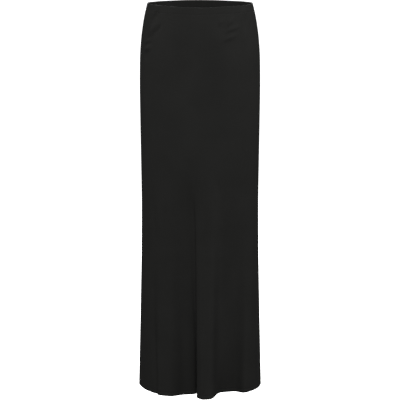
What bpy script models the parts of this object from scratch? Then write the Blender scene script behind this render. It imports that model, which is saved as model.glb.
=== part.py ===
"""A maxi skirt: two bias-cut panels on an elastic waist, filled out as they hang on their wearer.

The frame has +Z up, the front facing -Y and the wearer's right side at -X. The origin is the centre of the
waist opening, level with the top of the side seams, because that is where the skirt is held up.

Each panel is one wall of cloth. Over the hips it follows a row of oval sections. From the thigh down the
cloth is wider than the oval and stands out in folds, which grow from nothing to the plan that the hem draws.
The waist is finished by a band turned in over a flat elastic.
"""

import math
from collections import namedtuple

import bmesh
import bpy
import numpy as np

# Driving sizes, in metres.
LENGTH = 1.040  # down a side seam
CLOTH = 0.0015  # thickness of a panel's wall
SEAM_GAP = 0.0003  # between two pieces that are sewn together
CASING_DEPTH = 0.025  # turned in at the waist
CASING_CLOTH = 0.0020  # its cloth with the elastic inside

# How the walls are divided, from the waist's edge to the casing's and from there to the hem.
CASING_ROWS = 2
LOWER_ROWS = 20
ROW_SPREAD = 1.1  # above 1 the lower rows lie closer together at the top
CURVE_STEPS = 900  # steps along a section while it is measured
MEASURED_TIMES = 3  # the hem's folds move their own shares of its length, so these are measured again

# The body of the skirt above its folds. A section is a rounded oval, with its half width, the reach of its
# front and back from the side seams, and a squareness, which is 2 for a true ellipse.
Section = namedtuple("Section", "below half_width front back squareness")
SECTIONS = (
    Section(0.000, 0.1385, 0.092, 0.096, 2.10),
    Section(0.025, 0.1445, 0.096, 0.101, 2.12),
    Section(0.060, 0.1512, 0.101, 0.109, 2.15),
    Section(0.100, 0.1566, 0.105, 0.117, 2.20),
    Section(0.150, 0.1603, 0.107, 0.124, 2.25),
    Section(0.215, 0.1611, 0.107, 0.127, 2.30),
    Section(0.310, 0.1602, 0.106, 0.125, 2.35),
    Section(0.420, 0.1587, 0.104, 0.121, 2.40),
    Section(0.530, 0.1575, 0.102, 0.118, 2.45),
    Section(0.640, 0.1584, 0.100, 0.116, 2.50),
    Section(0.760, 0.1607, 0.099, 0.115, 2.55),
    Section(0.880, 0.1635, 0.099, 0.115, 2.60),
    Section(LENGTH, 0.1676, 0.099, 0.116, 2.65),
)

# The folds, from the wearer's right seam to the left one. A line runs down the cloth from where its fold
# starts, at start_share of the panel's width, to hem_x at the hem, where it stands hem_out from the seams.
# It moves sideways early on its way where its sweep is under 1, and late where that is over 1.
FoldLine = namedtuple("FoldLine", "name starts start_share sweep hem_x hem_out")
FRONT_FOLDS = (
    FoldLine("side of the right flute", 0.46, 0.100, 0.8, -0.150, 0.057),
    FoldLine("slope of the right flute", 0.42, 0.175, 0.8, -0.129, 0.087),
    FoldLine("shoulder of the right flute", 0.40, 0.240, 0.8, -0.108, 0.124),
    FoldLine("crest of the right flute", 0.39, 0.285, 0.8, -0.088, 0.131),
    FoldLine("slope to the centre hollow", 0.38, 0.355, 0.6, -0.044, 0.114),
    FoldLine("centre hollow", 0.37, 0.410, 0.3, -0.0105, 0.100),
    FoldLine("edge of the centre fold", 0.37, 0.465, 0.8, -0.002, 0.163),
    FoldLine("crest of the centre fold", 0.37, 0.500, 0.8, 0.012, 0.1695),
    FoldLine("shoulder of the centre fold", 0.39, 0.550, 0.8, 0.026, 0.161),
    FoldLine("foot of the centre fold", 0.43, 0.660, 1.4, 0.054, 0.092),
    FoldLine("left hollow", 0.50, 0.730, 1.2, 0.078, 0.080),
    FoldLine("crest of the left flute", 0.54, 0.830, 1.0, 0.113, 0.0935),
    FoldLine("side of the left flute", 0.56, 0.900, 1.0, 0.142, 0.066),
)
BACK_FOLDS = (
    FoldLine("side of the right flute", 0.52, 0.110, 0.8, -0.153, 0.066),
    FoldLine("crest of the right flute", 0.46, 0.240, 0.8, -0.113, 0.141),
    FoldLine("right hollow", 0.46, 0.340, 0.8, -0.065, 0.109),
    FoldLine("edge of the centre flute", 0.40, 0.400, 0.5, -0.036, 0.149),
    FoldLine("crest of the centre flute", 0.40, 0.450, 0.5, -0.014, 0.162),
    FoldLine("foot of the centre flute", 0.44, 0.555, 1.0, 0.024, 0.113),
    FoldLine("crest of the left flute", 0.46, 0.650, 0.8, 0.064, 0.151),
    FoldLine("left hollow", 0.50, 0.740, 1.0, 0.098, 0.103),
    FoldLine("crest of the side flute", 0.56, 0.820, 1.0, 0.130, 0.108),
    FoldLine("side of the side flute", 0.58, 0.890, 1.0, 0.153, 0.062),
)
GROWTH_OUT = 1.3  # power by which a fold deepens on its way down
SOFT_START = 0.3  # share of a fold's length in which it starts softly

# The waist's edge stands edge_height over the side seams at the panel's centre. A higher edge_power keeps it
# level for longer beside the seams.
Panel = namedtuple("Panel", "name facing folds columns edge_height edge_power")
FRONT = Panel("front", -1, FRONT_FOLDS, 64, -0.0092, 2.2)
BACK = Panel("back", 1, BACK_FOLDS, 56, 0.0053, 1.6)
EDGE_FADE = 4  # power by which the rows below straighten to the level of the hem

CREPE_COLOUR = (0.016, 0.016, 0.015)
INSIDE_COLOUR = (0.012, 0.012, 0.012)
CREPE_ROUGHNESS = 0.85
SHARP_ANGLE = math.radians(40)


def through(places, values, at):
    """The smooth curve through the values at these places, which never swings past them."""
    places = np.asarray(places, float)
    values = np.asarray(values, float)
    steps = np.diff(places)
    slopes = np.diff(values) / steps
    tangents = np.concatenate([slopes[:1], np.zeros(len(places) - 2), slopes[-1:]])
    for i in range(1, len(places) - 1):
        before, after = slopes[i - 1], slopes[i]
        if before * after > 0:
            near = 2 * steps[i] + steps[i - 1]
            far = steps[i] + 2 * steps[i - 1]
            tangents[i] = (near + far) / (near / before + far / after)
    at = np.asarray(at, float)
    i = np.clip(np.searchsorted(places, at) - 1, 0, len(steps) - 1)
    t = (at - places[i]) / steps[i]
    start = (1 + 2 * t) * (1 - t) ** 2 * values[i] + t * (1 - t) ** 2 * steps[i] * tangents[i]
    end = t * t * (3 - 2 * t) * values[i + 1] + t * t * (t - 1) * steps[i] * tangents[i + 1]
    return start + end


def measured(curve):
    """How far along the curve each of its points is, as a share of its length."""
    steps = np.linalg.norm(np.diff(curve, axis=0), axis=1)
    along = np.concatenate([[0.0], np.cumsum(steps)])
    return along / along[-1]


def point_at(curve, share):
    """The points at these shares of the curve's length."""
    along = measured(curve)
    return np.stack([np.interp(share, along, curve[:, k]) for k in (0, 1)], axis=-1)


def oval(panel, below):
    """Half a section as points (across, out), from the right seam to the left one."""
    depths = [section.below for section in SECTIONS]
    half_width, front, back, squareness = (
        float(through(depths, [section[k] for section in SECTIONS], below)) for k in (1, 2, 3, 4)
    )
    reach = front if panel.facing < 0 else back
    turn = np.linspace(math.pi, 0.0, CURVE_STEPS)
    cosine, sine = np.cos(turn), np.abs(np.sin(turn))
    across = half_width * np.sign(cosine) * np.abs(cosine) ** (2 / squareness)
    return np.stack([across, reach * sine ** (2 / squareness)], axis=-1)


def hem_places(panel):
    """Where each fold line and seam meets the hem: its share of the cloth, and its move off the oval."""
    half_width = SECTIONS[-1].half_width
    lines = [(line.hem_x, line.hem_out) for line in panel.folds]
    points = np.array([(-half_width, 0.0)] + lines + [(half_width, 0.0)])
    shares = measured(points)
    base = oval(panel, LENGTH)
    everywhere = np.linspace(0.0, 1.0, CURVE_STEPS)
    for _ in range(MEASURED_TIMES):
        moved = points - point_at(base, shares)
        drawn = point_at(base, everywhere)
        drawn += np.stack([through(shares, moved[:, k], everywhere) for k in (0, 1)], axis=-1)
        shares = np.interp(shares, everywhere, measured(drawn))
    return shares, points - point_at(base, shares)


def outline(panel, hem, below, shares):
    """The panel's cloth at one height, as points (across, out) at these shares of its width."""
    hem_shares, moved = hem
    base = oval(panel, below)
    lines = panel.folds[:1] + panel.folds + panel.folds[-1:]
    starts = np.array([line.starts for line in lines])
    grown = np.clip((below - starts) / (LENGTH - starts), 0.0, 1.0)
    started = np.clip(grown / SOFT_START, 0.0, 1.0)
    started = started * started * (3 - 2 * started)
    swept = grown ** np.array([line.sweep for line in lines])
    start_shares = np.array([0.0] + [line.start_share for line in panel.folds] + [1.0])
    here = start_shares + (hem_shares - start_shares) * swept
    across = moved[:, 0] * started * swept
    out = moved[:, 1] * started * grown**GROWTH_OUT
    points = point_at(base, through(hem_shares, here, shares))
    return points + np.stack([through(hem_shares, k, shares) for k in (across, out)], axis=-1)


def row_depths():
    """How far below the waist each row of a panel lies."""
    casing = np.linspace(0.0, CASING_DEPTH, CASING_ROWS + 1)
    lower = np.linspace(0.0, 1.0, LOWER_ROWS + 1)[1:] ** ROW_SPREAD
    return np.concatenate([casing, CASING_DEPTH + (LENGTH - CASING_DEPTH) * lower])


def surface(panel):
    """The panel's outer face, as rows of points from the waist's edge down to the hem."""
    hem = hem_places(panel)
    shares = np.linspace(0.0, 1.0, panel.columns + 1)
    waist_edge = panel.edge_height * np.abs(np.sin(math.pi * shares)) ** panel.edge_power
    rows = []
    for below in row_depths():
        points = outline(panel, hem, below, shares)
        height = waist_edge * (1 - below / LENGTH) ** EDGE_FADE - below
        out = panel.facing * (points[:, 1] + SEAM_GAP / 2)
        rows.append(np.stack([points[:, 0], out, height], axis=-1))
    return np.array(rows)


def outward(face, facing):
    """Unit directions out of the face, square to the seam along its two sides."""
    across = np.gradient(face, axis=1)
    down = np.gradient(face, axis=0)
    direction = np.cross(across, down) * facing
    direction[:, (0, -1), 1:] = 0.0
    return direction / np.linalg.norm(direction, axis=2, keepdims=True)


def wall(outer, inner):
    """A closed mesh between two faces of the same rows and columns."""
    mesh = bmesh.new()
    sheets = [[[mesh.verts.new(point) for point in row] for row in face] for face in (outer, inner)]
    rows, columns = outer.shape[0] - 1, outer.shape[1] - 1
    for i in range(rows):
        for j in range(columns):
            for sheet in sheets:
                mesh.faces.new((sheet[i][j], sheet[i + 1][j], sheet[i + 1][j + 1], sheet[i][j + 1]))
    rim = [(0, j) for j in range(columns)] + [(i, columns) for i in range(rows)]
    rim += [(rows, j) for j in range(columns, 0, -1)] + [(i, 0) for i in range(rows, 0, -1)]
    for (i, j), (k, m) in zip(rim, rim[1:] + rim[:1]):
        mesh.faces.new((sheets[0][i][j], sheets[0][k][m], sheets[1][k][m], sheets[1][i][j]))
    bmesh.ops.recalc_face_normals(mesh, faces=mesh.faces)
    bmesh.ops.triangulate(mesh, faces=mesh.faces)
    return mesh


def add_piece(name, mesh, material):
    """Puts a piece into the scene as an object of its own."""
    data = bpy.data.meshes.new(name)
    mesh.to_mesh(data)
    mesh.free()
    data.shade_smooth()
    data.set_sharp_from_angle(angle=SHARP_ANGLE)
    data.materials.append(material)
    bpy.context.scene.collection.objects.link(bpy.data.objects.new(name, data))


def cloth_material(name, colour):
    """A plain matt cloth."""
    material = bpy.data.materials.new(name)
    material.use_nodes = True
    shader = material.node_tree.nodes["Principled BSDF"]
    shader.inputs["Base Color"].default_value = (*colour, 1.0)
    shader.inputs["Roughness"].default_value = CREPE_ROUGHNESS
    shader.inputs["Metallic"].default_value = 0.0
    return material


def add_half(panel, crepe, crepe_inside):
    """A panel, and the casing that lies just inside its top rows, point for point."""
    outer = surface(panel)
    out = outward(outer, panel.facing)
    inner = outer - CLOTH * out
    add_piece(f"{panel.name}_panel", wall(outer, inner), crepe)
    top = slice(0, CASING_ROWS + 1)
    band = inner[top] - SEAM_GAP * out[top]
    add_piece(f"{panel.name}_waist_casing", wall(band, band - CASING_CLOTH * out[top]), crepe_inside)


for old in list(bpy.data.objects):
    bpy.data.objects.remove(old)
outside = cloth_material("black_crepe", CREPE_COLOUR)
inside = cloth_material("black_crepe_inside", INSIDE_COLOUR)
for half in (FRONT, BACK):
    add_half(half, outside, inside)
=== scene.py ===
"""A black maxi skirt as it hangs on its wearer: its fine cloth, its sewing and a plain studio.

The frame has +Z up, the front facing -Y and the wearer's right side at -X. The origin is the centre of the
waist opening, level with the top of the side seams. Every size is in metres.
"""

import math
from collections import namedtuple

import bpy
import numpy as np
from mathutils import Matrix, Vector


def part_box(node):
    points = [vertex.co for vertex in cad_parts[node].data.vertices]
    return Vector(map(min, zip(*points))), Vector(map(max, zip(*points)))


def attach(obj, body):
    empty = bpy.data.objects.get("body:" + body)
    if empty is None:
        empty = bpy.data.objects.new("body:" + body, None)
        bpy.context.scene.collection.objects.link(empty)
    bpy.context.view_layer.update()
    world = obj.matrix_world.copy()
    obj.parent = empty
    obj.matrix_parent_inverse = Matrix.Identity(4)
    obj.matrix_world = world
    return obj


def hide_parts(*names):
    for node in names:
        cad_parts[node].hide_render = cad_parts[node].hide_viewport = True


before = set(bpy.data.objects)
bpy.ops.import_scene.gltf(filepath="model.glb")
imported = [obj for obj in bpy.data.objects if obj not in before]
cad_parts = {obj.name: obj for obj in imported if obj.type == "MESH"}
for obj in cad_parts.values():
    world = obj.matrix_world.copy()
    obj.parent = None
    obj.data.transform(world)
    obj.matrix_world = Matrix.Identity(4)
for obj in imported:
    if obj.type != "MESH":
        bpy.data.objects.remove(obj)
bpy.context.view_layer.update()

# The front and the back: two pieces of black polyester crepe, cut on the bias so that they fall in soft
# folds, each in one with what turns in over the waist's elastic and with its narrow hem. They hang from the
# elastic, close over the hips, and stand out in flutes from the thigh down.
LENGTH = -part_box("front_panel")[0].z  # down a side seam
CLOTH = 0.0009
HALF = CLOTH / 2  # from a face of the cloth to its middle
CASING_DEPTH = 0.025
CASING_REACH = 0.0038  # from the outer face to the casing's inner one, with the elastic between them
WAIST_LINE = 0.0195  # where the casing is stitched down, under the elastic
HEM_DEPTH = 0.012
HEM_REACH = 0.0026
HEM_LINE = 0.0095  # where the turning is stitched, above the hem
SEWN_DIP = 0.00045  # depth to which a line of stitches draws the cloth in
SEWN_WIDTH = 0.0016
SEAM_ROUND = 0.0012  # radius with which the cloth turns in to a side seam
SEAM_MARGIN = 0.0007  # share of the width that a side seam takes from each edge

# A section of the filled-out skirt is a rounded oval: half its width, how far it reaches to the front and to
# the back of the seams, and the power that squares it.
Section = namedtuple("Section", "below half_width front back squareness")
SECTIONS = (
    Section(0.000, 0.1395, 0.092, 0.096, 2.10),
    Section(0.025, 0.1459, 0.096, 0.101, 2.12),
    Section(0.060, 0.1524, 0.101, 0.109, 2.15),
    Section(0.100, 0.1573, 0.105, 0.117, 2.20),
    Section(0.150, 0.1603, 0.107, 0.124, 2.25),
    Section(0.215, 0.1611, 0.107, 0.127, 2.30),
    Section(0.310, 0.1602, 0.106, 0.125, 2.35),
    Section(0.420, 0.1587, 0.104, 0.121, 2.40),
    Section(0.530, 0.1575, 0.102, 0.118, 2.45),
    Section(0.640, 0.1584, 0.100, 0.116, 2.50),
    Section(0.760, 0.1607, 0.099, 0.115, 2.55),
    Section(0.880, 0.1635, 0.099, 0.115, 2.60),
    Section(LENGTH, 0.1676, 0.099, 0.116, 2.65),
)

# A fold line runs down the cloth from where its fold starts, at start_share of the width, to hem_x at the
# hem, where it stands hem_out from the seams. The greater its sweep, the later it moves sideways.
FoldLine = namedtuple("FoldLine", "name starts start_share sweep hem_x hem_out")
FRONT_FOLDS = (
    FoldLine("side of the right flute", 0.46, 0.100, 0.8, -0.150, 0.060),
    FoldLine("slope of the right flute", 0.42, 0.175, 0.8, -0.130, 0.093),
    FoldLine("shoulder of the right flute", 0.40, 0.240, 0.8, -0.109, 0.125),
    FoldLine("crest of the right flute", 0.39, 0.297, 0.8, -0.082, 0.135),
    FoldLine("slope to the centre hollow", 0.38, 0.355, 0.6, -0.051, 0.1205),
    FoldLine("lip of the centre hollow", 0.44, 0.430, 0.5, -0.0140, 0.1110),
    FoldLine("centre hollow", 0.44, 0.447, 0.45, -0.0092, 0.106),
    FoldLine("edge of the centre fold", 0.44, 0.476, 0.6, -0.0049, 0.158),
    FoldLine("crest of the centre fold", 0.41, 0.506, 0.8, 0.0085, 0.1715),
    FoldLine("shoulder of the centre fold", 0.39, 0.550, 0.8, 0.0240, 0.1685),
    FoldLine("foot of the centre fold", 0.43, 0.660, 1.4, 0.059, 0.094),
    FoldLine("left hollow", 0.50, 0.735, 1.2, 0.090, 0.086),
    FoldLine("crest of the left flute", 0.54, 0.835, 1.0, 0.120, 0.0985),
    FoldLine("side of the left flute", 0.56, 0.900, 1.0, 0.145, 0.071),
)
BACK_FOLDS = (
    FoldLine("side of the right flute", 0.52, 0.110, 0.8, -0.153, 0.066),
    FoldLine("crest of the right flute", 0.46, 0.240, 0.8, -0.113, 0.141),
    FoldLine("right hollow", 0.46, 0.340, 0.8, -0.065, 0.109),
    FoldLine("edge of the centre flute", 0.40, 0.400, 0.5, -0.036, 0.149),
    FoldLine("crest of the centre flute", 0.40, 0.450, 0.5, -0.014, 0.162),
    FoldLine("foot of the centre flute", 0.44, 0.555, 1.0, 0.024, 0.113),
    FoldLine("crest of the left flute", 0.46, 0.650, 0.8, 0.064, 0.151),
    FoldLine("left hollow", 0.50, 0.740, 1.0, 0.098, 0.103),
    FoldLine("crest of the side flute", 0.56, 0.820, 1.0, 0.130, 0.108),
    FoldLine("side of the side flute", 0.58, 0.890, 1.0, 0.153, 0.062),
)
GROWTH_OUT = 1.3  # power by which a fold deepens on its way down
SOFT_START = 0.3  # share of a fold's length in which it starts softly
EDGE_FADE = 4  # power by which the rows under the waist's edge straighten to the level of the hem
CURVE_STEPS = 900  # places along a curve at which it is measured
MEASURED_TIMES = 3
FORM_ROWS = 261
FORM_COLUMNS = 321
BEFORE_END = 1.001  # from the count of rows or columns to just before the last one

# Creases: soft troughs, with a height under 0, or ridges. One runs over the cloth from a place across it,
# counted from its middle towards the wearer's left, and below the waist, to another, bowed towards the
# wearer's left. It is highest at its peak, as a share of its length, and its width is from its middle line
# to where it has lost two thirds of its height.
Crease = namedtuple("Crease", "name across below to_across to_below bow height width peak")
FRONT_CREASES = (
    Crease("first drag ridge at the right hip", -0.116, -0.004, -0.142, 0.044, 0.001, 0.0046, 0.0048, 0.50),
    Crease("groove inside it", -0.106, 0.000, -0.130, 0.042, 0.001, -0.0018, 0.0038, 0.50),
    Crease("second drag ridge", -0.110, 0.034, -0.152, 0.096, -0.002, 0.0057, 0.0082, 0.50),
    Crease("groove inside it", -0.098, 0.040, -0.132, 0.088, -0.001, -0.0030, 0.0044, 0.50),
    Crease("third drag ridge", -0.130, 0.088, -0.168, 0.106, 0.000, 0.0034, 0.0046, 0.50),
    Crease("fourth drag ridge", -0.130, 0.106, -0.170, 0.126, 0.000, 0.0038, 0.0058, 0.50),
    Crease("last drag line", -0.144, 0.118, -0.164, 0.158, 0.000, -0.0018, 0.0048, 0.50),
    Crease("pucker under the casing", -0.094, 0.022, -0.066, 0.028, 0.000, -0.0009, 0.0030, 0.50),
    Crease("first drag ridge at the left hip", 0.064, 0.026, 0.046, 0.056, 0.000, 0.0028, 0.0048, 0.50),
    Crease("second drag ridge", 0.094, 0.022, 0.064, 0.060, 0.001, 0.0045, 0.0056, 0.50),
    Crease("third drag ridge", 0.114, 0.050, 0.058, 0.070, 0.001, 0.0034, 0.0052, 0.50),
    Crease("fourth drag ridge", 0.104, 0.072, 0.054, 0.094, 0.001, 0.0034, 0.0054, 0.50),
    Crease("upright drag ridge", 0.125, 0.054, 0.108, 0.144, 0.002, 0.0044, 0.0052, 0.42),
    Crease("groove beside it", 0.116, 0.050, 0.102, 0.136, 0.002, -0.0022, 0.0046, 0.42),
    Crease("short drag ridge at the left seam", 0.130, 0.000, 0.123, 0.044, -0.001, 0.0036, 0.0050, 0.45),
    Crease("low drag line at the left seam", 0.149, 0.034, 0.141, 0.078, 0.000, -0.0014, 0.0040, 0.50),
    Crease("hollow of the belly", -0.040, -0.020, -0.040, 0.320, 0.000, -0.0105, 0.0430, 0.45),
    Crease("swell left of the middle", 0.044, 0.040, 0.050, 0.130, 0.000, 0.0012, 0.0140, 0.45),
    Crease("swell over the thighs", -0.010, 0.250, 0.000, 0.650, 0.000, 0.0095, 0.0580, 0.48),
    Crease("trough over the centre fold", -0.027, 0.400, -0.016, 0.640, 0.000, -0.0038, 0.0110, 0.55),
    Crease("groove of the centre hollow", -0.026, 0.540, -0.052, 1.100, 0.004, -0.0016, 0.0032, 0.40),
    Crease("trough beside the right flute", -0.132, 0.470, -0.132, 0.720, 0.000, -0.0016, 0.0090, 0.45),
    Crease("ridge of the right flute", -0.104, 0.490, -0.110, 0.750, 0.000, 0.0026, 0.0110, 0.40),
    Crease("low ridge of the right flute", -0.086, 0.740, -0.142, 1.340, 0.000, 0.0030, 0.0130, 0.45),
    Crease("trough at its side", -0.136, 0.640, -0.212, 1.340, 0.000, -0.0048, 0.0095, 0.50),
    Crease("swell beside the right flute", -0.072, 0.720, -0.105, 1.100, 0.000, 0.0050, 0.0130, 0.60),
    Crease("swell beside the centre fold", -0.048, 0.720, -0.074, 1.100, 0.000, 0.0055, 0.0180, 0.60),
    Crease("swell at the foot of the centre fold", 0.084, 0.720, 0.119, 1.090, 0.000, 0.0060, 0.0190, 0.60),
    Crease("short trough beside the middle", 0.047, 0.450, 0.049, 0.520, 0.000, -0.0014, 0.0060, 0.50),
    Crease("trough of the left flute", 0.114, 0.580, 0.172, 1.060, 0.000, -0.0012, 0.0120, 0.40),
    Crease("ridge of the left flute", 0.156, 0.560, 0.196, 1.000, 0.000, 0.0028, 0.0120, 0.40),
)
BACK_CREASES = (
    Crease("first drag ridge at the right hip", -0.118, -0.002, -0.154, 0.050, 0.001, 0.0030, 0.0050, 0.50),
    Crease("groove inside it", -0.104, 0.004, -0.136, 0.052, 0.001, -0.0016, 0.0044, 0.50),
    Crease("second drag ridge at the right hip", -0.100, 0.050, -0.162, 0.104, -0.002, 0.0036, 0.0080, 0.50),
    Crease("third drag ridge at the right hip", -0.134, 0.104, -0.176, 0.132, 0.000, 0.0026, 0.0056, 0.50),
    Crease("last drag line at the right hip", -0.150, 0.128, -0.182, 0.170, 0.000, -0.0018, 0.0052, 0.50),
    Crease("first drag ridge at the left hip", 0.108, 0.000, 0.150, 0.046, -0.001, 0.0029, 0.0052, 0.50),
    Crease("second drag ridge at the left hip", 0.088, 0.044, 0.158, 0.092, 0.002, 0.0036, 0.0076, 0.45),
    Crease("groove under it", 0.104, 0.068, 0.160, 0.110, 0.002, -0.0018, 0.0048, 0.50),
    Crease("third drag ridge at the left hip", 0.126, 0.100, 0.176, 0.138, 0.000, 0.0024, 0.0058, 0.50),
    Crease("short pucker under the casing", 0.062, 0.024, 0.088, 0.034, 0.000, -0.0010, 0.0036, 0.50),
    Crease("hollow at the small of the back", 0.000, 0.010, -0.002, 0.140, 0.000, -0.0036, 0.0320, 0.45),
    Crease("right drag line under the seat", -0.150, 0.262, -0.040, 0.322, -0.006, -0.0024, 0.0110, 0.45),
    Crease("ridge under it", -0.146, 0.292, -0.046, 0.346, -0.006, 0.0018, 0.0120, 0.45),
    Crease("left drag line under the seat", 0.158, 0.284, 0.036, 0.330, 0.005, -0.0020, 0.0110, 0.40),
    Crease("trough over the centre flute", -0.052, 0.380, -0.030, 0.620, 0.000, -0.0030, 0.0110, 0.50),
    Crease("ridge of the right flute", -0.116, 0.520, -0.140, 0.900, 0.002, 0.0030, 0.0120, 0.40),
    Crease("trough beside the right flute", -0.168, 0.600, -0.206, 1.180, 0.000, -0.0024, 0.0120, 0.45),
    Crease("short trough between the flutes", 0.020, 0.470, 0.026, 0.590, 0.000, -0.0018, 0.0070, 0.50),
    Crease("ridge of the left flute", 0.076, 0.540, 0.100, 0.960, -0.003, 0.0026, 0.0110, 0.45),
    Crease("groove at its foot", 0.116, 0.700, 0.152, 1.240, 0.004, -0.0022, 0.0060, 0.50),
    Crease("ridge of the side flute", 0.160, 0.600, 0.206, 1.020, 0.000, 0.0026, 0.0120, 0.45),
)

# Gathers: small uneven tucks of each panel just under the waist, where the elastic draws it in.
GATHERS = 34
GATHER_PLACE = (0.2, 0.8)  # within its share of the waist's edge
GATHER_LEAN = 0.002
GATHER_REACH = (0.024, 0.060)
GATHER_HEIGHT = 0.00055
GATHER_WIDTH = (0.0042, 0.0070)
GATHER_PEAK = 0.38

# The cloth's columns, as shares of its width, lie closest at the seams and at the sharpest fold. Its rows
# lie closest at the lines of stitches, close at the edges, and closer above than below, for the drag lines.
CLOTH_COLUMNS = 158
SEAM_COLUMNS = (0.0, 0.0002, 0.0008, 0.0018, 0.0035)
INNER_START = 0.0070
INNER_PLACES = 2001
FOLD_CLOSENESS = 2.2
FOLD_REACH = 0.028
STITCHED_REACH = 0.003
STITCHED_STEP = 0.00075
EDGE_STEP = 0.0015
UPPER_STEP = 0.0025
UPPER_END = 0.150
LOWER_STEP = 0.0047
OVER_ROWS = 9  # round the waist's edge
UNDER_ROWS = 7  # round the hem's edge
TURNING_ROWS = 8


def through(places, values, at):
    """The smooth curve through the values at these places, which never swings past them."""
    places = np.asarray(places, float)
    values = np.asarray(values, float)
    steps = np.diff(places)
    slopes = np.diff(values) / steps
    tangents = np.concatenate([slopes[:1], np.zeros(len(places) - 2), slopes[-1:]])
    for i in range(1, len(places) - 1):
        before, after = slopes[i - 1], slopes[i]
        if before * after > 0:
            near = 2 * steps[i] + steps[i - 1]
            far = steps[i] + 2 * steps[i - 1]
            tangents[i] = (near + far) / (near / before + far / after)
    at = np.asarray(at, float)
    i = np.clip(np.searchsorted(places, at) - 1, 0, len(steps) - 1)
    t = (at - places[i]) / steps[i]
    start = (1 + 2 * t) * (1 - t) ** 2 * values[i] + t * (1 - t) ** 2 * steps[i] * tangents[i]
    end = t * t * (3 - 2 * t) * values[i + 1] + t * t * (t - 1) * steps[i] * tangents[i + 1]
    return start + end


def measured(curve):
    """How far along the curve each of its points is, as a share of its length."""
    steps = np.linalg.norm(np.diff(curve, axis=0), axis=1)
    along = np.concatenate([[0.0], np.cumsum(steps)])
    return along / along[-1]


def point_at(curve, share):
    """The points at these shares of the curve's length."""
    along = measured(curve)
    return np.stack([np.interp(share, along, curve[:, k]) for k in (0, 1)], axis=-1)


def oval(facing, below):
    """Half a section as points (across, out), from the right seam to the left one."""
    depths = [section.below for section in SECTIONS]
    half_width, front, back, squareness = (
        float(through(depths, [section[k] for section in SECTIONS], below)) for k in (1, 2, 3, 4)
    )
    reach = front if facing < 0 else back
    turn = np.linspace(math.pi, 0.0, CURVE_STEPS)
    cosine, sine = np.cos(turn), np.abs(np.sin(turn))
    across = half_width * np.sign(cosine) * np.abs(cosine) ** (2 / squareness)
    return np.stack([across, reach * sine ** (2 / squareness)], axis=-1)


def hem_places(facing, folds):
    """Where each fold line and seam meets the hem: its share of the cloth, and its move off the oval."""
    half_width = SECTIONS[-1].half_width
    on_lines = [(line.hem_x, line.hem_out) for line in folds]
    points = np.array([(-half_width, 0.0), *on_lines, (half_width, 0.0)])
    shares = measured(points)
    base = oval(facing, LENGTH)
    everywhere = np.linspace(0.0, 1.0, CURVE_STEPS)
    for _ in range(MEASURED_TIMES):
        moved = points - point_at(base, shares)
        drawn = point_at(base, everywhere)
        drawn += np.stack([through(shares, moved[:, k], everywhere) for k in (0, 1)], axis=-1)
        shares = np.interp(shares, everywhere, measured(drawn))
    return shares, points - point_at(base, shares)


def outline(facing, folds, hem, below, shares):
    """The cloth at one height, as points (across, out) at these shares of its width."""
    hem_shares, moved = hem
    lines = folds[:1] + folds + folds[-1:]
    starts = np.array([line.starts for line in lines])
    grown = np.clip((below - starts) / (LENGTH - starts), 0.0, 1.0)
    started = np.clip(grown / SOFT_START, 0.0, 1.0)
    started = started * started * (3 - 2 * started)
    swept = grown ** np.array([line.sweep for line in lines])
    start_shares = np.array([0.0, *(line.start_share for line in folds), 1.0])
    here = start_shares + (hem_shares - start_shares) * swept
    across = moved[:, 0] * started * swept
    out = moved[:, 1] * started * grown**GROWTH_OUT
    points = point_at(oval(facing, below), through(hem_shares, here, shares))
    return points + np.stack([through(hem_shares, k, shares) for k in (across, out)], axis=-1)


def gathers(seed, edge_width):
    """The gathers of a panel whose waist's edge is this wide, as short creases of uneven size."""
    draw = np.random.default_rng(seed)
    middles = (np.arange(GATHERS) + draw.uniform(*GATHER_PLACE, GATHERS)) / GATHERS - 0.5
    leans = draw.normal(0.0, GATHER_LEAN, GATHERS)
    reaches = draw.uniform(*GATHER_REACH, GATHERS)
    heights = GATHER_HEIGHT * draw.uniform(-1.0, 1.0, GATHERS)
    widths = draw.uniform(*GATHER_WIDTH, GATHERS)
    return tuple(
        Crease("gather", x, 0.0, x + lean, reach, 0.0, height, width, GATHER_PEAK)
        for x, lean, reach, height, width in zip(middles * edge_width, leans, reaches, heights, widths)
    )


# A form is the way that a panel faces, its outer face in even rows and columns, the directions out of it,
# how far across the cloth each of its points lies from the middle, and the creases on it.
Form = namedtuple("Form", "facing face out across creases")


def form(facing, folds, edge_height, edge_power, creases):
    """The form of a panel whose waist's edge stands edge_height over the seams at its centre. The greater
    its edge_power, the closer to the centre it comes down."""
    hem = hem_places(facing, folds)
    shares = np.linspace(0.0, 1.0, FORM_COLUMNS)
    edge = edge_height * np.abs(np.sin(math.pi * shares)) ** edge_power
    rows = []
    for below in np.linspace(0.0, LENGTH, FORM_ROWS):
        points = outline(facing, folds, hem, below, shares)
        height = edge * (1 - below / LENGTH) ** EDGE_FADE - below
        rows.append(np.stack([points[:, 0], facing * points[:, 1], height], axis=-1))
    face = np.array(rows)
    out = np.cross(np.gradient(face, axis=1), np.gradient(face, axis=0)) * facing
    out[:, (0, -1), 1:] = 0.0
    out /= np.linalg.norm(out, axis=2, keepdims=True)
    lengths = np.cumsum(np.linalg.norm(np.diff(face, axis=1), axis=2), axis=1)
    across = np.pad(lengths, ((0, 0), (1, 0))) - lengths[:, -1:] / 2
    return Form(facing, face, out, across[..., None], creases)


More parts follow.
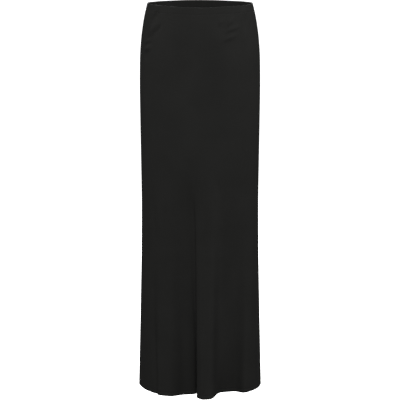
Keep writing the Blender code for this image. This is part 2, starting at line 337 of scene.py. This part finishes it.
def between(grid, shares, below):
    """What a form's grid holds at these shares of the width and depths below the waist."""
    row = np.clip(below / LENGTH * (FORM_ROWS - 1), 0, FORM_ROWS - BEFORE_END)
    column = np.clip(shares * (FORM_COLUMNS - 1), 0, FORM_COLUMNS - BEFORE_END)
    i, j = row.astype(int), column.astype(int)
    down, along = (row - i)[..., None], (column - j)[..., None]
    upper = grid[i, j] * (1 - along) + grid[i, j + 1] * along
    lower = grid[i + 1, j] * (1 - along) + grid[i + 1, j + 1] * along
    return upper * (1 - down) + lower * down


def crease_height(crease, across, below):
    """How far a crease lifts the cloth at these places."""
    way = np.array([crease.to_across - crease.across, crease.to_below - crease.below])
    length = np.hypot(*way)
    along = ((across - crease.across) * way[0] + (below - crease.below) * way[1]) / length**2
    beside = ((across - crease.across) * way[1] - (below - crease.below) * way[0]) / length
    beside -= 4 * crease.bow * along * (1 - along)
    taper = np.sin(math.pi * np.clip(along, 0.0, 1.0) ** (math.log(0.5) / math.log(crease.peak))) ** 2
    return crease.height * taper * np.exp(-((beside / crease.width) ** 2))


def laid(shape, shares, below, inset, turn):
    """The middle of the cloth at these shares of the width and depths below the waist, for rows that lie
    inset behind the outer face and have turned over by turn. With it, the way that the cloth's right side
    faces, and how far across it the places lie."""
    shares, below, inset, turn = np.broadcast_arrays(shares, below, inset, turn)
    face = between(shape.face, shares, below)
    out = between(shape.out, shares, below)
    out /= np.linalg.norm(out, axis=-1, keepdims=True)
    across = between(shape.across, shares, below)[..., 0]
    relief = sum(crease_height(crease, across, below) for crease in shape.creases)
    edge = between(shape.across, np.full_like(shares, 1 - SEAM_MARGIN), below)[..., 0]
    rounding = np.clip(SEAM_ROUND - (edge - np.abs(across)), 0.0, SEAM_ROUND)
    inward = SEAM_ROUND - np.sqrt(SEAM_ROUND**2 - rounding**2)
    for line in (WAIST_LINE, LENGTH - HEM_LINE):
        inward = inward + SEWN_DIP * np.exp(-(((below - line) / SEWN_WIDTH) ** 2))
    right_side = out * np.cos(turn)[..., None]
    right_side[..., 2] += np.sin(turn)
    depth = inset - relief
    return face - depth[..., None] * out - inward[..., None] * right_side, right_side, across


def evenly(start, stop, step):
    """Places from start up to just before stop, about a step apart."""
    return np.linspace(start, stop, max(1, round(abs(stop - start) / step)), endpoint=False)


def profile():
    """Down one line of the cloth, from the casing's edge over the waist to the turning's edge: how far below
    the waist each row lies, how deep inside the outer face, and by what angle it has turned over."""
    casing_round, hem_round = CASING_REACH / 2 - HALF, HEM_REACH / 2 - HALF
    top, bottom = HALF + casing_round, LENGTH - HALF - hem_round
    above_waist_line, below_waist_line = WAIST_LINE - STITCHED_REACH, WAIST_LINE + STITCHED_REACH
    above_hem_line, below_hem_line = LENGTH - HEM_LINE - STITCHED_REACH, LENGTH - HEM_LINE + STITCHED_REACH
    casing = np.concatenate(
        [evenly(CASING_DEPTH, below_waist_line, EDGE_STEP),
         evenly(below_waist_line, above_waist_line, STITCHED_STEP),
         evenly(above_waist_line, top, UPPER_STEP)]
    )
    over = np.linspace(math.pi, 0.0, OVER_ROWS)
    outer = np.concatenate(
        [evenly(top, above_waist_line, UPPER_STEP)[1:],
         evenly(above_waist_line, below_waist_line, STITCHED_STEP),
         evenly(below_waist_line, UPPER_END, UPPER_STEP), evenly(UPPER_END, above_hem_line, LOWER_STEP),
         evenly(above_hem_line, below_hem_line, STITCHED_STEP), evenly(below_hem_line, bottom, EDGE_STEP)]
    )
    under = np.linspace(0.0, -math.pi, UNDER_ROWS)
    turning = LENGTH - np.linspace(HALF + hem_round, HEM_DEPTH, TURNING_ROWS)[1:]
    below = np.concatenate(
        [casing, HALF + casing_round * (1 - np.sin(over)), outer,
         LENGTH - HALF - hem_round * (1 + np.sin(under)), turning]
    )
    inset = np.concatenate(
        [np.full(len(casing), HALF + 2 * casing_round), HALF + casing_round * (1 - np.cos(over)),
         np.full(len(outer), HALF), HALF + hem_round * (1 - np.cos(under)),
         np.full(len(turning), HALF + 2 * hem_round)]
    )
    turn = np.concatenate(
        [np.full(len(casing), math.pi), over, np.zeros(len(outer)), under, np.full(len(turning), -math.pi)]
    )
    return below[:, None], inset[:, None], turn[:, None]


def columns(sharpest):
    """The columns as shares of the width, close together at the seams and at the sharpest fold."""
    at_seam = SEAM_MARGIN + np.array(SEAM_COLUMNS)
    places = np.linspace(INNER_START, 1 - INNER_START, INNER_PLACES)
    closeness = 1 + FOLD_CLOSENESS * np.exp(-(((places - sharpest) / FOLD_REACH) ** 4))
    count = CLOTH_COLUMNS - 2 * len(at_seam)
    inner = np.interp(np.linspace(0.0, 1.0, count), np.cumsum(closeness) / closeness.sum(), places)
    inner[0] = places[0]
    return np.concatenate([at_seam, inner, 1 - at_seam[::-1]])


def linear(hex_colour):
    """An sRGB hex colour as a shader's socket takes it."""
    channels = [int(hex_colour[k : k + 2], 16) / 255 for k in (1, 3, 5)]
    return (*(c / 12.92 if c <= 0.04045 else ((c + 0.055) / 1.055) ** 2.4 for c in channels), 1.0)


def add_node(tree, kind, settings=(), inputs=()):
    """Adds a node with its own settings, and with inputs that are values or the outputs that feed them."""
    node = tree.nodes.new(kind)
    for name, value in dict(settings).items():
        setattr(node, name, value)
    for name, value in dict(inputs).items():
        if isinstance(value, bpy.types.NodeSocket):
            tree.links.new(value, node.inputs[name])
        else:
            node.inputs[name].default_value = value
    return node


# Polyester crepe, woven from tightly twisted yarn: a dull black with fine crinkled grains that lie along its
# two yarns, at 45 degrees to the hem, and hardly any shine. The grains are drawn 1.5 times as coarse as the
# real ones of 0.6 by 1.6 mm, because those would be lost between two dots of the render.
CREPE_BLACK = "#1f1f1e"
# The lighter black is painted on the grains' tops, a painted highlight with painted shade between them, and
# on patches of slightly uneven dye.
CREPE_DYED_AND_LIT_TOP_BLACK = "#242423"
GRAIN_WIDTH = 0.0009
GRAIN_LENGTH = 0.0024
GRAIN_HEIGHT = 0.00012
GRAIN_RANGE = (0.35, 0.70)  # of the grains' pattern, from between them to their tops
GRAIN_STRENGTH = 0.6
CLOUD_SIZE = 0.07  # patches of slightly uneven dye
CLOUD_SHARE = 0.3
DYE_AND_LIT_TOP_RANGE = (0.50, 0.92)  # of the grains and dye patches together, from the one black to the lighter one, which paints a highlight on the grains' tops
CREPE_ROUGHNESS = (0.90, 0.78)  # between the grains and on their tops
CREPE_SPECULAR = 0.05


def crepe():
    """The crepe's material, laid out by the cloth's own cut."""
    material = bpy.data.materials.new("black_polyester_crepe")
    material.use_nodes = True
    tree = material.node_tree
    shader = tree.nodes["Principled BSDF"]
    cut = add_node(tree, "ShaderNodeUVMap", {"uv_map": "cut"}).outputs["UV"]
    grains = []
    for angle in (45, -45):
        turned = add_node(
            tree, "ShaderNodeMapping", {}, {"Vector": cut, "Rotation": (0.0, 0.0, math.radians(angle))}
        )
        stretched = add_node(
            tree, "ShaderNodeMapping", {},
            {"Vector": turned.outputs["Vector"], "Scale": (1 / GRAIN_WIDTH, 1 / GRAIN_LENGTH, 1.0)},
        )
        grains.append(
            add_node(
                tree, "ShaderNodeTexNoise", {"noise_dimensions": "2D"},
                {"Vector": stretched.outputs["Vector"], "Scale": 1.0, "Detail": 2.0, "Roughness": 0.5},
            ).outputs["Fac"]
        )
    weave = add_node(
        tree, "ShaderNodeMath", {"operation": "MAXIMUM"}, {0: grains[0], 1: grains[1]}
    ).outputs["Value"]
    cloud = add_node(
        tree, "ShaderNodeTexNoise", {"noise_dimensions": "2D"},
        {"Vector": cut, "Scale": 1 / CLOUD_SIZE, "Detail": 2.0},
    ).outputs["Fac"]
    mixed = add_node(
        tree, "ShaderNodeMath", {"operation": "MULTIPLY_ADD"}, {0: cloud, 1: CLOUD_SHARE, 2: weave}
    ).outputs["Value"]
    # Painted highlight on the grains' tops, with painted shade between them, together with the real dye
    # patches.
    dye_and_lit_tops = add_node(
        tree, "ShaderNodeMapRange", {},
        {"Value": mixed, "From Min": DYE_AND_LIT_TOP_RANGE[0], "From Max": DYE_AND_LIT_TOP_RANGE[1]},
    ).outputs["Result"]
    colour = add_node(
        tree, "ShaderNodeMix", {"data_type": "RGBA"},
        {0: dye_and_lit_tops, 6: linear(CREPE_BLACK), 7: linear(CREPE_DYED_AND_LIT_TOP_BLACK)},
    ).outputs[2]
    roughness = add_node(
        tree, "ShaderNodeMapRange", {},
        {"Value": weave, "From Min": GRAIN_RANGE[0], "From Max": GRAIN_RANGE[1],
         "To Min": CREPE_ROUGHNESS[0], "To Max": CREPE_ROUGHNESS[1]},
    ).outputs["Result"]
    bump = add_node(
        tree, "ShaderNodeBump", {}, {"Height": weave, "Strength": GRAIN_STRENGTH, "Distance": GRAIN_HEIGHT}
    ).outputs["Normal"]
    tree.links.new(colour, shader.inputs["Base Color"])
    tree.links.new(roughness, shader.inputs["Roughness"])
    tree.links.new(bump, shader.inputs["Normal"])
    shader.inputs["Specular IOR Level"].default_value = CREPE_SPECULAR
    return material


def cloth_object(name, points, across, below, facing, thickness, material):
    """A sheet of cloth from rows of points, given its thickness, with its cut in the UV map."""
    rows, count = points.shape[:2]
    at = np.arange(rows * count).reshape(rows, count)
    corners = (at[:-1, :-1], at[1:, :-1], at[1:, 1:], at[:-1, 1:])
    quads = np.stack(corners if facing < 0 else corners[::-1], axis=-1).reshape(-1, 4)
    mesh = bpy.data.meshes.new(name)
    mesh.from_pydata(points.reshape(-1, 3).tolist(), [], quads.tolist())
    cut = np.stack([across, np.broadcast_to(below, across.shape)], axis=-1).reshape(-1, 2)
    mesh.uv_layers.new(name="cut").data.foreach_set("uv", cut[quads.ravel()].ravel())
    mesh.materials.append(material)
    mesh.shade_smooth()
    piece = bpy.data.objects.new(name, mesh)
    bpy.context.scene.collection.objects.link(piece)
    solidify = piece.modifiers.new("thickness", "SOLIDIFY")
    solidify.thickness = thickness
    solidify.offset = 0.0
    bpy.ops.object.select_all(action="DESELECT")
    piece.select_set(True)
    bpy.context.view_layer.objects.active = piece
    bpy.ops.object.modifier_apply(modifier=solidify.name)
    return piece


front_form = form(
    -1, FRONT_FOLDS, edge_height=-0.0118, edge_power=1.0,
    creases=FRONT_CREASES + gathers(seed=11, edge_width=0.369),
)
back_form = form(
    1, BACK_FOLDS, edge_height=0.0048, edge_power=1.6,
    creases=BACK_CREASES + gathers(seed=12, edge_width=0.375),
)
black_crepe = crepe()
row_below, row_inset, row_turn = profile()
# How far below the waist's fold each row lies on the flat cut, with the casing above it.
row_down = np.where(row_turn > math.pi / 2, -row_below, row_below)
row_down = np.where(row_turn < -math.pi / 2, 2 * LENGTH - row_below, row_down)
for name, shape, sharpest, nodes in (
    ("front_cloth", front_form, 0.445, ("front_panel", "front_waist_casing")),
    ("back_cloth", back_form, 0.425, ("back_panel", "back_waist_casing")),
):
    points, _, across = laid(shape, columns(sharpest), row_below, row_inset, row_turn)
    cloth = cloth_object(name, points, across, row_down, shape.facing, CLOTH, black_crepe)
    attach(cloth, "root")
    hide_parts(*nodes)

# Inside each side seam: the cloth past the seam of the front and of the back, sewn together and pressed flat
# towards the back. It goes up under the casing's edge, and ends where the hem's turning starts.
ALLOWANCE = 0.0095
ALLOWANCE_THICKNESS = 0.0016
ALLOWANCE_TOP = 0.0225
ALLOWANCE_END = LENGTH - HEM_DEPTH - 0.0008
ALLOWANCE_START = 0.0006  # from the seam
ALLOWANCE_ROWS = 190
ALLOWANCE_COLUMNS = 7
ALLOWANCE_GAP = 0.00008  # off the cloth that it lies on
ALLOWANCE_LIFT = 0.0007  # by which its free edge stands off here and there
LIFT_LEVEL = 0.5  # share of the lift about which two waves go up and down along the seam
LIFT_WAVES = ((0.3, 41, 1), (0.2, 97, 2))  # the share of each, how fast it turns, and how often it shifts
LIFT_SHIFT = {-1: 0.7, 1: 2.9}
ALLOWANCE_CUT = 0.32  # from the middle of the flat cut, just past the back's edge


def shares_at(shape, across, below):
    """The shares of the width that lie this far across the cloth, for rows of places at these depths."""
    everywhere = np.linspace(0.0, 1.0, CURVE_STEPS)
    rows = []
    for places, depth in zip(across, below):
        lengths = between(shape.across, everywhere, np.full(CURVE_STEPS, depth))[:, 0]
        rows.append(np.interp(places, lengths, everywhere))
    return np.array(rows)


def beside_seam(side, below, distance, lift):
    """Places on the inside of the back, at these distances from the right seam (-1) or the left one (1), and
    the way that faces into the skirt there."""
    seam = between(back_form.across, np.full_like(below, (1 + side) / 2), below)
    rows = shares_at(back_form, seam - side * distance, below)
    middle, inward, _ = laid(back_form, rows, below[:, None], CLOTH + lift, math.pi)
    return middle, inward


def free_lift(side, below, distance):
    """How far the allowance has lifted off the cloth, at these depths and distances from its seam."""
    wave = np.full_like(below, LIFT_LEVEL)
    for share, turning, shifts in LIFT_WAVES:
        wave += share * np.sin(below * turning + shifts * LIFT_SHIFT[side])
    return ALLOWANCE_LIFT * wave[:, None] * (distance / ALLOWANCE) ** 2


for side, name in ((-1, "right_seam_allowance"), (1, "left_seam_allowance")):
    below = np.linspace(ALLOWANCE_TOP, ALLOWANCE_END, ALLOWANCE_ROWS)
    distance = np.linspace(ALLOWANCE_START, ALLOWANCE, ALLOWANCE_COLUMNS) + np.zeros((ALLOWANCE_ROWS, 1))
    lift = ALLOWANCE_GAP + ALLOWANCE_THICKNESS / 2 + free_lift(side, below, distance)
    points, _ = beside_seam(side, below, distance, lift)
    across = side * (ALLOWANCE_CUT - distance)
    allowance = cloth_object(name, points, across, below[:, None], side, ALLOWANCE_THICKNESS, black_crepe)
    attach(allowance, "root")

# The sewing, all in black polyester thread 0.3 mm thick. The casing and the turning are sewn down with even
# lockstitches, which sink a little into the cloth outside and inside, and each cut edge is overlocked.
THREAD = 0.00030
WAIST_STITCH = 0.0028
HEM_STITCH = 0.0032
STITCH_SHARE = 0.86  # of a stitch's step that its thread shows
STITCH_UNEVEN = (0.94, 1.04)
STITCH_SLANT = 0.00005
STITCH_RISE = (-0.00016, 0.00006, 0.00011, 0.00006, -0.00016)
OVERLOCK_STEP = 0.0024
OVERLOCK_WIDTH = 0.0042
LOOP_REACH = (0.0, 0.35, 1.0, 0.35)  # shares of the width, over a step
LOOP_RISE = (0.0, 0.00022, 0.00010, 0.00032)
LOOP_UNEVEN = 0.012
NEEDLE_REACH = 0.96
NEEDLE_RISE = (-0.00010, 0.00016, 0.00016, -0.00010)
OVERLOCK_MARGIN = 0.004  # share of the width that it leaves free at each seam
OVERLOCK_TOP = 0.002  # from the top of an allowance
EDGE_PLACES = 1200
INTO = 0.003  # from the edge to places that show which way the cloth goes on
THREAD_SIDES = 6
THREAD_BLACK = "#1b1b1c"
# A lighter black, painted along the plies as a painted highlight, with painted shade between them.
THREAD_LIT_PLY_BLACK = "#26262a"
THREAD_ROUGHNESS = 0.55
THREAD_SPECULAR = 0.2
TWIST = 0.0006  # between the slanting lines of the real plies, which are drawn twice as far apart
TWO_METRE_BANDS = 0.32  # the wave texture's scale for bands about 2 m apart
rng = np.random.default_rng(7)


def sewing_thread():
    """The thread's material: a satin black with the fine slanting lines of its twisted plies, raised by
    bumps and painted lighter along the plies as a painted highlight.
    """
    material = bpy.data.materials.new("black_polyester_thread")
    material.use_nodes = True
    tree = material.node_tree
    shader = tree.nodes["Principled BSDF"]
    around = add_node(tree, "ShaderNodeUVMap", {"uv_map": "thread"}).outputs["UV"]
    plies = add_node(
        tree, "ShaderNodeTexWave", {"wave_type": "BANDS", "bands_direction": "DIAGONAL"},
        {"Vector": around, "Scale": TWO_METRE_BANDS / TWIST, "Distortion": 0.4},
    ).outputs["Fac"]
    # Painted highlight along the plies, painted shade between them.
    colour = add_node(
        tree, "ShaderNodeMix", {"data_type": "RGBA"},
        {0: plies, 6: linear(THREAD_BLACK), 7: linear(THREAD_LIT_PLY_BLACK)},
    ).outputs[2]
    bump = add_node(
        tree, "ShaderNodeBump", {}, {"Height": plies, "Strength": 0.5, "Distance": THREAD / 8}
    ).outputs["Normal"]
    tree.links.new(colour, shader.inputs["Base Color"])
    tree.links.new(bump, shader.inputs["Normal"])
    shader.inputs["Roughness"].default_value = THREAD_ROUGHNESS
    shader.inputs["Specular IOR Level"].default_value = THREAD_SPECULAR
    return material


def threads(name, lines, up):
    """Threads along lines of points, as closed tubes in one mesh. The way up is the one off the cloth."""
    count, steps = lines.shape[:2]
    along = np.gradient(lines, axis=1)
    along /= np.linalg.norm(along, axis=2, keepdims=True)
    beside = np.cross(along, up)
    beside /= np.linalg.norm(beside, axis=2, keepdims=True)
    off = np.cross(beside, along)
    turn = np.linspace(0.0, 2 * math.pi, THREAD_SIDES, endpoint=False)[:, None]
    around = np.cos(turn) * beside[:, :, None] + np.sin(turn) * off[:, :, None]
    rings = lines[:, :, None] + THREAD / 2 * around
    at = np.arange(count * steps * THREAD_SIDES).reshape(count, steps, THREAD_SIDES)
    after = np.roll(at, -1, axis=2)
    quads = np.stack([at[:, :-1], at[:, 1:], after[:, 1:], after[:, :-1]], axis=-1).reshape(-1, 4)
    ends = np.concatenate([at[:, 0], at[:, -1, ::-1]])
    mesh = bpy.data.meshes.new(name)
    mesh.from_pydata(rings.reshape(-1, 3).tolist(), [], quads.tolist() + ends.tolist())
    gone = np.cumsum(np.pad(np.linalg.norm(np.diff(lines, axis=1), axis=2), ((0, 0), (1, 0))), axis=1)
    length = np.broadcast_to(gone[:, :, None], (count, steps, THREAD_SIDES))
    side = math.pi * THREAD / THREAD_SIDES
    girth = np.broadcast_to(np.arange(THREAD_SIDES) * side, length.shape)
    start, end, near, far = length[:, :-1], length[:, 1:], girth[:, 1:], girth[:, 1:] + side
    corners = ((start, near), (end, near), (end, far), (start, far))
    corners = np.stack([np.stack(corner, axis=-1) for corner in corners], axis=-2)
    laid_out = np.concatenate([corners.reshape(-1), np.zeros(ends.size * 2)])
    mesh.uv_layers.new(name="thread").data.foreach_set("uv", laid_out)
    mesh.materials.append(black_thread)
    mesh.shade_smooth()
    piece = bpy.data.objects.new(name, mesh)
    bpy.context.scene.collection.objects.link(piece)
    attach(piece, "root")


def lockstitches(shape, below, step, inset, turn):
    """A row of stitches right across a panel: the points of each one's thread, and the way off the cloth."""
    half_width = between(shape.across, np.ones(1), np.array([below]))[0, 0] - 2 * SEAM_ROUND
    middles = np.linspace(-half_width, half_width, round(2 * half_width / step))[:, None]
    along = np.linspace(-1, 1, len(STITCH_RISE))
    across = middles + STITCH_SHARE * step / 2 * rng.uniform(*STITCH_UNEVEN, middles.shape) * along
    depths = below + rng.normal(0.0, STITCH_SLANT, middles.shape) * along
    middle, off, _ = laid(shape, shares_at(shape, across, np.full(len(across), below)), depths, inset, turn)
    lift = HALF + np.array(STITCH_RISE)
    return middle + off * lift[:, None], off


def overlocked(edge, off, into):
    """An overlock along an edge: one thread that goes to and fro between the edge and the needle's line, and
    one along that line. The edge is given by points, the way off the cloth and the way into it."""
    gone = np.concatenate([[0.0], np.cumsum(np.linalg.norm(np.diff(edge, axis=0), axis=1))])
    steps = round(gone[-1] / OVERLOCK_STEP)
    places = (np.arange(4 * steps) + 0.5) * OVERLOCK_STEP / 4

    def along(grid):
        return np.stack([np.interp(places, gone, grid[:, k]) for k in range(3)], axis=-1)

    edge, off, into = along(edge), along(off), along(into / np.linalg.norm(into, axis=1, keepdims=True))
    reach = OVERLOCK_WIDTH * (np.tile(LOOP_REACH, steps) + rng.normal(0.0, LOOP_UNEVEN, len(places)))
    loops = edge + reach[:, None] * into + np.tile(LOOP_RISE, steps)[:, None] * off
    needle = edge + OVERLOCK_WIDTH * NEEDLE_REACH * into + np.tile(NEEDLE_RISE, steps)[:, None] * off
    return [(loops, off), (needle, off)]


black_thread = sewing_thread()
casing_inset, hem_inset = CASING_REACH - HALF, HEM_REACH - HALF
for name, below, step, inner_inset, inner_turn in (
    ("casing_stitches", WAIST_LINE, WAIST_STITCH, casing_inset, math.pi),
    ("hem_stitches", LENGTH - HEM_LINE, HEM_STITCH, hem_inset, -math.pi),
):
    rows = [
        lockstitches(shape, below, step, inset, turn)
        for shape in (front_form, back_form)
        for inset, turn in ((HALF, 0.0), (inner_inset, inner_turn))
    ]
    threads(name, np.concatenate([line for line, _ in rows]), np.concatenate([off for _, off in rows]))

overlocks = {}
for name, below, inner_inset, inner_turn, into in (
    ("casing_overlock", CASING_DEPTH, casing_inset, math.pi, -INTO),
    ("hem_overlock", LENGTH - HEM_DEPTH, hem_inset, -math.pi, INTO),
):
    shares = np.linspace(OVERLOCK_MARGIN, 1 - OVERLOCK_MARGIN, EDGE_PLACES)
    overlocks[name] = []
    for shape in (front_form, back_form):
        middle, off, _ = laid(shape, shares, np.array([[below], [below + into]]), inner_inset, inner_turn)
        edge = middle[0] + off[0] * (HALF + THREAD / 2)
        overlocks[name] += overlocked(edge, off[0], middle[1] - middle[0])
for side, name in ((-1, "right_allowance_overlock"), (1, "left_allowance_overlock")):
    below = np.linspace(ALLOWANCE_TOP + OVERLOCK_TOP, ALLOWANCE_END, CURVE_STEPS)
    distance = np.array([ALLOWANCE, ALLOWANCE - INTO]) + np.zeros((CURVE_STEPS, 1))
    lift = ALLOWANCE_GAP + ALLOWANCE_THICKNESS + THREAD / 2 + free_lift(side, below, distance)
    points, off = beside_seam(side, below, distance, lift)
    overlocks[name] = overlocked(points[:, 0], off[:, 0], points[:, 1] - points[:, 0])
for name, lines in overlocks.items():
    for number, (line, off) in enumerate(lines):
        threads(f"{name}_{number}", line[None], off[None])

# The studio: a floor of white paper, so bright that it stays plain white all over, white surroundings, and
# soft lamps: one high before the front and one behind, and two weaker ones at the sides.
FLOOR_BELOW = 0.12  # under the hem, as on a wearer who stands
FLOOR_WIDTH = 160.0
PAPER_WHITE = "#f4f4f4"
WHITE = "#ffffff"
PAPER_GLOW = 1.2
SURROUNDINGS = 0.19
SKIRT_MIDDLE = Vector((0.0, 0.0, -0.45))
LAMP_DISTANCE = 3.6

white_paper = bpy.data.materials.new("white_paper")
white_paper.use_nodes = True
paper_inputs = white_paper.node_tree.nodes["Principled BSDF"].inputs
paper_inputs["Base Color"].default_value = linear(PAPER_WHITE)
paper_inputs["Emission Color"].default_value = linear(WHITE)
paper_inputs["Emission Strength"].default_value = PAPER_GLOW
bpy.ops.mesh.primitive_plane_add(size=FLOOR_WIDTH, location=(0.0, 0.0, -LENGTH - FLOOR_BELOW))
floor = bpy.context.object
floor.name = "floor"
floor.data.materials.append(white_paper)
floor.visible_diffuse = False
floor.visible_glossy = False
floor.visible_shadow = False


def soft_lamp(name, azimuth, elevation, power, size):
    """A square lamp that looks at the skirt's middle, from an azimuth that 0 puts before its front."""
    data = bpy.data.lights.new(name, "AREA")
    data.size = size
    data.energy = power
    lamp = bpy.data.objects.new(name, data)
    around, up = math.radians(azimuth), math.radians(elevation)
    way = Vector((math.sin(around) * math.cos(up), -math.cos(around) * math.cos(up), math.sin(up)))
    lamp.location = LAMP_DISTANCE * way + SKIRT_MIDDLE
    lamp.rotation_euler = way.to_track_quat("Z", "Y").to_euler()
    lamp.visible_camera = False
    bpy.context.scene.collection.objects.link(lamp)


soft_lamp("front_lamp", azimuth=0.0, elevation=30.0, power=93.0, size=0.8)
soft_lamp("right_lamp", azimuth=88.0, elevation=36.0, power=63.0, size=1.6)
soft_lamp("left_lamp", azimuth=-90.0, elevation=34.0, power=50.0, size=1.6)
soft_lamp("back_lamp", azimuth=180.0, elevation=30.0, power=92.0, size=0.8)

world = bpy.data.worlds.new("studio")
bpy.context.scene.world = world
world.use_nodes = True
world.node_tree.nodes["Background"].inputs["Color"].default_value = linear(WHITE)
world.node_tree.nodes["Background"].inputs["Strength"].default_value = SURROUNDINGS

# The camera stands as far off as a long lens needs, a little above the waist, and looks slightly down.
CAMERA_DISTANCE = 4.42
CAMERA_HEIGHT = 0.10
CAMERA_DOWN = 8.123
SENSOR_WIDTH = 36.0
FOCAL_LENGTH = 148.7
camera_data = bpy.data.cameras.new("camera")
camera_data.sensor_width = SENSOR_WIDTH
camera_data.lens = FOCAL_LENGTH
camera = bpy.data.objects.new("camera", camera_data)
camera.location = (0.0, -CAMERA_DISTANCE, CAMERA_HEIGHT)
camera.rotation_euler = (math.radians(90 - CAMERA_DOWN), 0.0, 0.0)
bpy.context.scene.collection.objects.link(camera)
bpy.context.scene.camera = camera
bpy.context.scene.view_settings.view_transform = "Standard"
